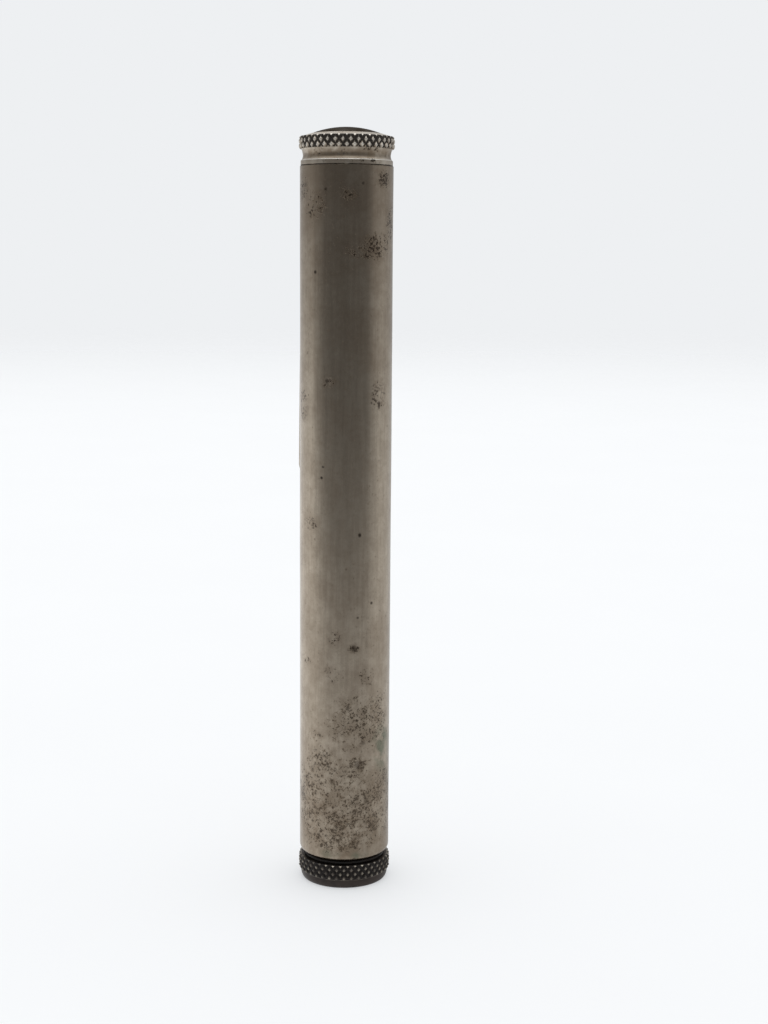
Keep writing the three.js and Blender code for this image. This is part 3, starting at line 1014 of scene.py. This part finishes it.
@dataclass
class Barrel:
    """The tube with the threaded neck in its mouth and the bush in its foot; sizes in mm."""

    thread: Thread = field(default_factory=Thread)
    wall: float = 0.5
    lip_radius: float = 1.0
    lip_turn_in: float = 0.15
    lip_burr: float = 0.03
    mouth_round: float = 0.05
    mouth_burr: float = 0.02
    mouth_depth: float = 1.0
    seam_dirt: float = 0.8
    columns: int = 360
    wave_height: float = 0.010
    wave_fade: float = 4.0
    flake_angle: float = 270.0
    flake_height: float = 0.15
    flake_width: float = 3.2
    flake_bottom: float = 59.4
    flake_top: float = 75.0
    flake_end: float = 0.5
    fitting_columns: int = 192
    neck_root: float = 4.95
    neck_wall: float = 0.55
    neck_thread: tuple[float, float] = (0.15, 0.1)
    neck_shoulder: float = 0.03
    rim: float = 0.06
    rim_inside: float = 0.08
    stud_root: float = 4.45
    bush_entry: float = 0.4
    bush_relief: float = 0.8
    bush_chamfer: float = 0.04

    def _unevenness(self, rows: Rows, angles: np.ndarray, bottom: float, top: float) -> np.ndarray:
        """What the drawn tube's radius gains from waves and from the lifted flake of plate.

        The waves are long, each the sine of an angle and height together, and fade at both ends.
        The flake is a narrow ridge: a bell curve of the angle, times a rise along the height that
        grows slowly downwards and ends abruptly.

        Args:
            rows: The tube's side.
            angles: Its column angles.
            bottom: Where the side starts.
            top: Where it ends.

        Returns:
            The gain at each point.
        """
        z = rows.height
        fade = np.clip(np.minimum(z - bottom, top - z) / self.wave_fade, 0.0, 1.0)
        waves = (np.sin(2 * angles + 0.09 * z) + 0.6 * np.sin(3 * angles - 0.15 * z + 1.1)
                 + 0.5 * np.sin(angles + 0.31 * z + 0.4))
        across = (np.degrees(angles) - self.flake_angle) / self.flake_width
        along = np.clip((self.flake_top - z) / (self.flake_top - self.flake_bottom), 0.0, 1.0)
        ended = np.clip((z - self.flake_bottom) / self.flake_end + 1.0, 0.0, 1.0)
        flake = self.flake_height * np.exp(-across ** 2) * along ** 0.8 * ended
        return fade * self.wave_height * waves + flake

    def tube(self) -> Piece:
        """The drawn tube with its spun lower edge.

        Returns:
            The piece.
        """
        bottom, top, radius = span("barrel_tube")
        bore, inside = radius - self.wall, bottom + self.wall
        centre = (radius - self.lip_radius, bottom + self.lip_radius)
        lip = centre[0] - self.lip_turn_in
        r, burr = self.mouth_round, self.lip_burr
        outside = Lathe("side", self.columns)
        outside.line((radius, centre[1] + CORNER), (radius, top - r - CORNER), 150)
        side = Rows.stacked(outside.parts)
        side = side.moved(self._unevenness(side, outside.angles, centre[1], top))
        lathe = Lathe("tube_body", self.columns)
        lathe.points([(lip, bottom + self.wall / 2), (lip, bottom + CORNER), (lip + CORNER, bottom)])
        lathe.arc(centre, self.lip_radius, -90, 0, 14)
        lathe.rows(side)
        lathe.arc((radius - r, top - r), r, 0, 90, 5, groove=self.seam_dirt)
        lathe.points([(bore + self.mouth_burr, top), (bore, top - self.mouth_burr)])
        lathe.line((bore, top - self.mouth_depth), (bore, centre[1]), 24)
        lathe.arc(centre, self.lip_radius - self.wall, 0, -90, 6)
        lathe.points([(lip + burr, inside), (lip, inside - burr)])
        return lathe.mesh(ring=True)

    def neck(self) -> Piece:
        """The threaded neck collar.

        Returns:
            The piece.
        """
        bottom, top, outer = span("neck_collar")
        seam = span("barrel_tube")[1]
        root, bore = self.neck_root, self.neck_root - self.neck_wall
        start, end = self.neck_thread
        lathe = Lathe("neck", self.fitting_columns)
        lathe.points([(bore, bottom + CORNER), (bore + CORNER, bottom), (outer - CORNER, bottom),
                      (outer, bottom + CORNER), (outer, seam - self.neck_shoulder),
                      (outer - self.neck_shoulder, seam), (root, seam)])
        lathe.rows(self.thread.rows(lathe.angles, root, seam + start, top - end, seam, Side.SHANK))
        lathe.points([(root, top - self.rim, 0.8), (root - self.rim, top, 0.8),
                      (bore + self.rim_inside, top, 0.4), (bore, top - self.rim_inside)])
        return lathe.mesh(ring=True)

    def bush(self) -> Piece:
        """The threaded bush in the tube's foot.

        Returns:
            The piece.
        """
        bottom, top, outer = span("base_bush")
        phase = span("base_washer")[0] - CORNER
        relief = self.stud_root + self.thread.depth + self.thread.crest_gap + CORNER
        clear, chamfer = self.lip_radius - self.wall, self.bush_chamfer
        low, high = bottom + self.bush_entry, top - self.bush_relief
        lathe = Lathe("foot_bush", self.fitting_columns)
        lathe.points([(relief, bottom + chamfer), (relief + chamfer, bottom),
                      (outer - clear, bottom), (outer, bottom + clear), (outer, top - CORNER),
                      (outer - CORNER, top), (relief + CORNER, top), (relief, top - CORNER),
                      (relief, high)])
        lathe.rows(self.thread.rows(lathe.angles, self.stud_root, low, high, phase, Side.BORE))
        lathe.points([(relief, low)])
        return lathe.mesh(ring=True)

    def build(self) -> None:
        """Make, dress and settle the pieces of the barrel."""
        brass = TurnedBrass().material()
        settle(self.tube(), NickelPlate().material(), "barrel", "barrel_tube")
        settle(self.neck(), brass, "barrel", "neck_collar")
        settle(self.bush(), brass, "barrel", "base_bush")


@dataclass
class Cap:
    """The screw cap: shell, crown and cork disc; sizes in mm."""

    thread: Thread = field(default_factory=Thread)
    knurl: Knurl = field(default_factory=Knurl)
    neck_root: float = 4.95
    relief: float = 5.5
    mouth_round: float = 0.06
    mouth_relief: float = 0.35
    seam_dirt: float = 0.55
    band_step: float = 0.25
    band_height: float = 0.73
    band_chamfer: float = 0.1
    # Edge mark of the band's upper chamfer: a painted highlight line in the pale colour.
    band_highlight: float = 1.4
    cove_height: float = 1.47
    cove_depth: float = 0.2
    cove_lean: float = 0.75
    cove_dirt: float = 0.17
    knurl_height: float = 1.61
    knurl_clear: float = 0.06
    notch_rise: float = 0.09
    shoulder_edge: float = 0.02
    liner_relief: float = 0.25
    liner_gap: float = 0.05
    ceiling_chamfer: float = 0.1
    crown_edge: float = 0.04
    crown_start: float = 0.3
    cork_round: float = 0.1
    cork_ripple: float = 0.012

    def shell(self) -> Piece:
        """The turned shell, from its mouth round the outside and back through the bore.

        The cove's depth follows sin(pi x share ** lean), with the share running up the cove.

        Returns:
            The piece.
        """
        bottom, top, outer = span("cap_shell")
        seam = span("barrel_tube")[1]
        crown_low, _, crown_radius = span("cap_crown")
        liner_low, liner_top, _ = span("cap_liner")
        ceiling, floor = liner_top + self.liner_gap, crown_low - self.liner_gap
        band, bevel, r = outer - self.band_step, self.band_chamfer, self.mouth_round
        cove_low = bottom + self.band_height
        knurl_low = cove_low + self.cove_height
        knurl_high = knurl_low + self.knurl_height
        edge = outer - self.knurl.chamfer
        recess = crown_radius + CORNER
        core = outer - self.knurl.depth - self.knurl_clear
        slope = (top - knurl_high) / (edge - recess)
        inner, rise, fine = core - 0.1, self.notch_rise, self.shoulder_edge
        lathe = Lathe("cap_body", self.knurl.columns)
        lathe.points([(self.relief, bottom + CORNER), (self.relief + CORNER, bottom)])
        lathe.arc((band - r, bottom + r), r, -90, 0, 4, groove=self.seam_dirt)
        # The band's upper chamfer carries a painted highlight line through its edge mark.
        lathe.points([(band, bottom + 1.5 * r, 0.2), (band, cove_low - bevel - CORNER, 0.1),
                      (band - 0.2 * bevel, cove_low - 0.7 * bevel, self.band_highlight),
                      (band - 0.8 * bevel, cove_low - 0.1 * bevel, self.band_highlight)])
        share = np.linspace(0.0, 1.0, 25)
        hollow = np.sin(np.pi * share ** self.cove_lean)
        lathe.points(list(zip(band - bevel - self.cove_depth * hollow,
                              cove_low + self.cove_height * share, np.zeros_like(share),
                              self.cove_dirt * hollow)))
        lathe.points([(core, knurl_low)])
        diamonds = self.knurl.rows(lathe.angles, outer, knurl_low, knurl_high)
        lathe.rows(diamonds)
        lathe.rows(diamonds.part(slice(-1, None)).moved(-self.knurl_clear, 0.7 * rise, 0.3))
        lathe.points([(edge - 0.8 * rise / slope, knurl_high + rise, 0.5)])
        lathe.line((inner, knurl_high + (edge - inner) * slope), (recess + 3 * fine, top - fine), 6)
        lathe.points([(recess + fine, top - fine / 4, 0.8), (recess, top - 1.5 * fine),
                      (recess, floor), (0.0, floor), (0.0, ceiling),
                      (self.relief - self.ceiling_chamfer, ceiling),
                      (self.relief, ceiling - self.ceiling_chamfer)])
        low, high = bottom + self.mouth_relief, liner_low - self.liner_relief
        lathe.points([(self.relief, high)])
        lathe.rows(self.thread.rows(lathe.angles, self.neck_root, low, high, seam, Side.BORE))
        lathe.points([(self.relief, low)])
        return lathe.mesh(ring=True)

    def crown(self) -> Piece:
        """The domed disc: the arc of a ball that meets the edge, over a flat underside.

        Returns:
            The piece.
        """
        bottom, top, radius = span("cap_crown")
        edge = span("cap_shell")[1]
        rise, small = top - edge, self.crown_edge
        size = (radius ** 2 + rise ** 2) / (2 * rise)
        tilt = math.degrees(math.acos(radius / size))
        lathe = Lathe("crown_disc", 192)
        lathe.points([(0.0, bottom), (radius - small, bottom), (radius, bottom + small),
                      (radius, edge - CORNER), (radius - small / 4, edge - small / 4)])
        lathe.arc((0.0, top - size), size, tilt + self.crown_start, 90, 40)
        return lathe.mesh(ring=False)

    def liner(self) -> Piece:
        """The cork disc: its rim is rounded and its faces ripple with sin(7 x angle + 3 x radius).

        Returns:
            The piece.
        """
        bottom, top, radius = span("cap_liner")
        r = self.cork_round
        flat = radius - 1.2 * r
        lathe = Lathe("cork_disc", 128)
        lathe.line((0.0, bottom), (flat, bottom), 20)
        lathe.arc((radius - r, bottom + r), r, -90, 0, 4)
        lathe.arc((radius - r, top - r), r, 0, 90, 4)
        lathe.line((flat, top), (0.0, top), 20)
        rows = Rows.stacked(lathe.parts)
        ripple = np.abs(np.sin(7 * lathe.angles + 3.0 * rows.radius)) * np.clip(rows.radius, 0, 1)
        inward = np.sign((bottom + top) / 2 - rows.height)
        return lathe.lifted(self.cork_ripple * inward * ripple).mesh(ring=False)

    def build(self) -> None:
        """Make, dress and settle the pieces of the cap."""
        settle(self.shell(), CapPlate().material(), "cap", "cap_shell")
        settle(self.crown(), DarkPlate().material(), "cap", "cap_crown")
        settle(self.liner(), Cork().material(), "cap_disc", "cap_liner")


@dataclass
class Base:
    """The screw plug that the case stands on, its washer and its cushion; sizes in mm."""

    thread: Thread = field(default_factory=Thread)
    knurl: Knurl = field(default_factory=lambda: Knurl(row=0.60, depth=0.27, flat=0.07, shift=-0.20,
                                                       dirt_rise=0.0, steps=38))
    foot_height: float = 1.3
    foot_inset: float = 0.65
    foot_step: float = 0.15
    foot_bend: float = 0.25
    foot_flat: float = 0.08
    dish: tuple[float, float] = (3.9, 4.05)
    dish_depth: float = 0.06
    knurl_clear: float = 0.06
    ring_flat: float = 0.12
    ring_burr: float = 0.02
    stud_root: float = 4.45
    stud_wall: float = 0.75
    stud_fillet: float = 0.1
    pocket_depth: float = 1.0
    thread_start: float = 1.85
    thread_end: float = 0.3
    rim: float = 0.08
    washer_bore: float = 0.15
    washer_bulge: float = 0.14
    washer_flat: float = 0.18
    washer_arc: float = 80.0
    felt_bottom: float = 0.2
    felt_top: float = 0.4
    felt_crown: float = 0.1
    felt_matting: float = 0.02
    felt_soft: float = 0.4
    felt_calm: float = 0.6

    def plug(self) -> Piece:
        """The foot, the knurled ring and the threaded stud.

        The foot's side is a curve of second degree from the floor to the ring, steep at its top.

        Returns:
            The piece.
        """
        _, top, outer = span("base_plug")
        ring_top = span("base_washer")[0] - CORNER
        core = outer - self.knurl.depth - self.knurl_clear
        side = outer - self.knurl.chamfer - self.foot_step
        floor = outer - self.foot_inset
        root, pocket = self.stud_root, self.stud_root - self.stud_wall
        step, high = self.ring_flat, self.foot_height
        t = np.linspace(0.0, 1.0, 15)
        bend_r = (1 - t) ** 2 * floor + (1 - (1 - t) ** 2) * side
        bend_z = 2 * t * (1 - t) * self.foot_bend + t ** 2 * (high - self.knurl.chamfer)
        lathe = Lathe("plug_body", self.knurl.columns)
        lathe.points([(0.0, self.dish_depth), (self.dish[0], self.dish_depth), (self.dish[1], 0.0),
                      (floor - self.foot_flat, 0.0)])
        lathe.points(list(zip(bend_r, bend_z)))
        lathe.points([(side, high - step, 0.5), (side + CORNER, high - self.ring_burr, 0.2),
                      (core, high)])
        lathe.rows(self.knurl.rows(lathe.angles, outer, high, ring_top))
        # Edge mark 0.55 on the knurled ring's top rim paints a highlight line there.
        lathe.points([(core, ring_top, 0.55), (core - step, ring_top, 0.1),
                      (root + self.stud_fillet, ring_top), (root, ring_top + self.stud_fillet)])
        lathe.rows(self.thread.rows(lathe.angles, root, ring_top + self.thread_start,
                                    top - self.thread_end, ring_top, Side.SHANK))
        lathe.points([(root, top - self.rim), (root - self.rim, top, 0.6),
                      (pocket + CORNER, top, 0.4), (pocket, top - CORNER),
                      (pocket, top - self.pocket_depth), (0.0, top - self.pocket_depth)])
        return lathe.mesh(ring=False)

    def washer(self) -> Piece:
        """The leather ring, its rim a flattened half circle where it is squeezed out.

        Returns:
            The piece.
        """
        bottom, top, outer = span("base_washer")
        inner, bulge = self.stud_root + self.washer_bore, self.washer_bulge
        middle, half = (bottom + top) / 2, (top - bottom) / 2
        flat = outer - self.washer_flat
        arc = np.radians(np.linspace(-self.washer_arc, self.washer_arc, 9))
        full = math.sin(arc[-1])
        lathe = Lathe("leather_ring", 160)
        lathe.points([(inner, bottom + CORNER), (inner + CORNER, bottom), (flat, bottom)])
        lathe.points([(outer - bulge + bulge * math.cos(a), middle + half * math.sin(a) / full)
                      for a in arc])
        lathe.points([(flat, top), (inner + CORNER, top), (inner, top - CORNER)])
        return lathe.mesh(ring=True)

    def cushion(self) -> Piece:
        """The felt pad: a disc crowned a little on top, with soft edges and a matted surface.

        The matting is the product of a sine round the pad and one across it, and always inwards.

        Returns:
            The piece.
        """
        bottom, top, radius = span("base_cushion")
        low, high = self.felt_bottom, self.felt_top
        lathe = Lathe("felt_pad", 160)
        lathe.points([(0.0, bottom), (radius - low - CORNER, bottom)])
        lathe.arc((radius - low, bottom + low), low, -90, 0, 5)
        lathe.arc((radius - high, top - high - self.felt_crown), high, 0, 80, 8)
        reach = np.linspace(radius - high - 0.02, 0.0, 26)
        lathe.points([(r, top - self.felt_crown * (r / radius) ** 2) for r in reach])
        rows = Rows.stacked(lathe.parts)
        matting = np.abs(np.sin(23 * lathe.angles + 5 * rows.radius)
                         * np.sin(11 * rows.radius + 9 * rows.height))
        soft = (np.clip((rows.height - bottom) / self.felt_soft, 0.0, 1.0)
                * np.clip(rows.radius / self.felt_calm, 0.0, 1.0))
        lathe.lifted(-self.felt_matting * matting * soft)
        return lathe.mesh(ring=False, smooth_angle=60.0)

    def build(self) -> None:
        """Make, dress and settle the pieces of the base."""
        settle(self.plug(), Patina().material(), "base", "base_plug")
        settle(self.washer(), WaxedLeather().material(), "base_ring", "base_washer")
        settle(self.cushion(), Felt().material(), "base", "base_cushion")


# Studio


@dataclass
class Studio:
    """Pale floor, soft light from above and a light tent that is open towards the camera."""

    distance: float = 0.23142
    eye_height: float = 0.08853
    yaw: float = 1.335
    pitch: float = 8.776
    roll: float = 0.432
    lens: float = 58.88
    sensor: float = 36.0
    floor_radius: float = 3.0
    floor_rings: tuple[float, ...] = (0.05, 0.2, 0.6, 1.0)
    floor_columns: int = 96
    floor_fade: tuple[float, float] = (620.0, 1800.0)
    above: tuple[tuple[float, float], ...] = (
        (-180, 0.70), (-168, 0.66), (-140, 0.50), (-90, 0.39), (-70, 0.29), (-56, 0.18),
        (-30, 0.155), (0, 0.145), (30, 0.165), (58, 0.19), (67, 0.36), (85, 0.46), (140, 0.47),
        (158, 0.44), (172, 0.44), (180, 0.70),
    )
    below: tuple[tuple[float, float], ...] = (
        (-180, 0.90), (-165, 0.96), (-130, 1.00), (-90, 0.92), (-60, 0.86), (-30, 0.82),
        (0, 0.80), (30, 0.74), (60, 0.66), (90, 0.70), (130, 0.73), (155, 0.68), (170, 0.66),
        (180, 0.90),
    )
    ceiling: Colour = (0.85, 0.86, 0.87)
    backdrop: Colour = (0.855, 0.871, 0.888)
    floor_albedo: Colour = (0.50, 0.505, 0.51)
    floor_glow: float = 0.49
    lamp_power: float = 15.0
    lamp_size: float = 2.4
    lamp_place: tuple[float, float, float] = (0.0, 0.3, 1.6)

    def floor(self) -> None:
        """A pale round floor of rings and columns that fades into the backdrop."""
        count, columns = len(self.floor_rings), self.floor_columns
        angles = np.linspace(0.0, TURN, columns + 1)[:-1]
        radii = np.array(self.floor_rings) * self.floor_radius
        verts = np.stack([np.outer(radii, np.cos(angles)), np.outer(radii, np.sin(angles)),
                          np.zeros((count, columns))], axis=-1).reshape(-1, 3)
        grid = np.arange(count * columns).reshape(count, columns)
        turned = np.roll(grid, -1, axis=1)
        quads = np.stack([grid[:-1], grid[1:], turned[1:], turned[:-1]], axis=-1).reshape(-1, 4)
        mesh = bpy.data.meshes.new("floor")
        mesh.from_pydata(verts.tolist(), [], quads.tolist() + [grid[0].tolist()])
        mesh.update()
        floor = bpy.data.objects.new("floor", mesh)
        bpy.context.scene.collection.objects.link(floor)
        floor.visible_glossy = False
        s = Surface("floor_paper", Metallic=0.0, Specular_IOR_Level=0.2,
                    Emission_Color=(*self.backdrop, 1.0), Emission_Strength=self.floor_glow)
        fade = s.vector("LENGTH", s.place, output=1).ramp(*self.floor_fade, 1.0, 0.0)
        s.tree.links.new(fade.socket, s.shader.inputs["Alpha"])
        paper = s.noise(s.place, 0.02, 2.0).ramp(0.3, 0.7, 0.985, 1.0)
        tone = s.shaded(self.floor_albedo, paper)
        floor.data.materials.append(s.finish(tone, paper.ramp(0.98, 1.0, 0.8, 0.9)))

    @staticmethod
    def _table(w: Wiring, share: Value, stops: Sequence[tuple[float, float]]) -> Socket:
        """Brightness looked up by direction.

        Args:
            w: Where the node goes.
            share: The direction's azimuth, from 0 at -180 degrees to 1 at 180.
            stops: (azimuth in degrees from the front, brightness), in order.

        Returns:
            The brightness.
        """
        table = w.add("ShaderNodeValToRGB", {0: share})
        elements = table.color_ramp.elements
        while len(elements) < len(stops):
            elements.new(0.5)
        for element, (azimuth, level) in zip(elements, stops):
            element.position = azimuth / 360.0 + 0.5
            element.color = (level, level, level, 1.0)
        return table.outputs[0]

    def tent(self) -> None:
        """The world: a plain backdrop to the eye, and a tent with an opening in reflections.

        Its brightness follows the direction's azimuth through one table of stops above the
        horizon and another below it, and the change between them lies lower in front.
        """
        world = bpy.data.worlds.new("light_tent")
        bpy.context.scene.world = world
        world.use_nodes = True
        w = Wiring(world.node_tree)
        x, y, z = w.split(w.value("ShaderNodeTexCoord", output="Generated"))
        azimuth = w.math("ARCTAN2", x, y * -1.0)
        share = azimuth / TURN + 0.5
        facing = w.math("POWER", w.math("COSINE", azimuth).or_more(0.0), 0.5) * 0.18
        low = 1.0 - z.ramp(-0.18 - facing, 0.06 - facing)
        tent = w.mix(low, self._table(w, share, self.above), self._table(w, share, self.below))
        tent = w.shaded(tent, z.ramp(-0.36, -0.26, 0.86, 1.0))
        tent = w.mix(z.ramp(0.35, 0.75), tent, self.ceiling)
        seen = w.value("ShaderNodeLightPath", output="Is Camera Ray")
        colour = w.mix(seen, tent, self.backdrop)
        w.tree.links.new(colour, w.tree.nodes["Background"].inputs["Color"])

    def lamp(self) -> None:
        """One broad soft lamp overhead, which lights the floor."""
        data = bpy.data.lights.new("overhead", "AREA")
        data.shape = "DISK"
        data.size = self.lamp_size
        data.energy = self.lamp_power
        lamp = bpy.data.objects.new("overhead", data)
        lamp.location = self.lamp_place
        bpy.context.scene.collection.objects.link(lamp)

    def camera(self) -> None:
        """The camera: it stands in front and looks a little down and past the case's right."""
        data = bpy.data.cameras.new("camera")
        data.lens = self.lens
        data.sensor_width = self.sensor
        data.clip_start = 0.01
        camera = bpy.data.objects.new("camera", data)
        yaw, pitch, roll = (math.radians(a) for a in (self.yaw, self.pitch, self.roll))
        ahead = Vector((math.sin(yaw) * math.cos(pitch), math.cos(yaw) * math.cos(pitch),
                        -math.sin(pitch)))
        right = Vector((math.cos(yaw), -math.sin(yaw), 0.0))
        up = right.cross(ahead)
        level_right = right * math.cos(roll) + up * math.sin(roll)
        level_up = up * math.cos(roll) - right * math.sin(roll)
        turned = Matrix((level_right, level_up, -ahead)).transposed().to_4x4()
        camera.matrix_world = Matrix.Translation((0.0, -self.distance, self.eye_height)) @ turned
        bpy.context.scene.collection.objects.link(camera)
        bpy.context.scene.camera = camera

    def build(self) -> None:
        """Set the camera, the floor, the tent and the lamp."""
        self.camera()
        self.floor()
        self.tent()
        self.lamp()
        bpy.context.scene.view_settings.view_transform = "Standard"
        log.info("studio ready")


def main() -> None:
    """Build the studio and the sub-assemblies."""
    logging.basicConfig(level=logging.INFO, format="%(name)s: %(message)s")
    Studio().build()
    for assembly in (Barrel(), Cap(), Base()):
        assembly.build()


if __name__ == "__main__":
    main()
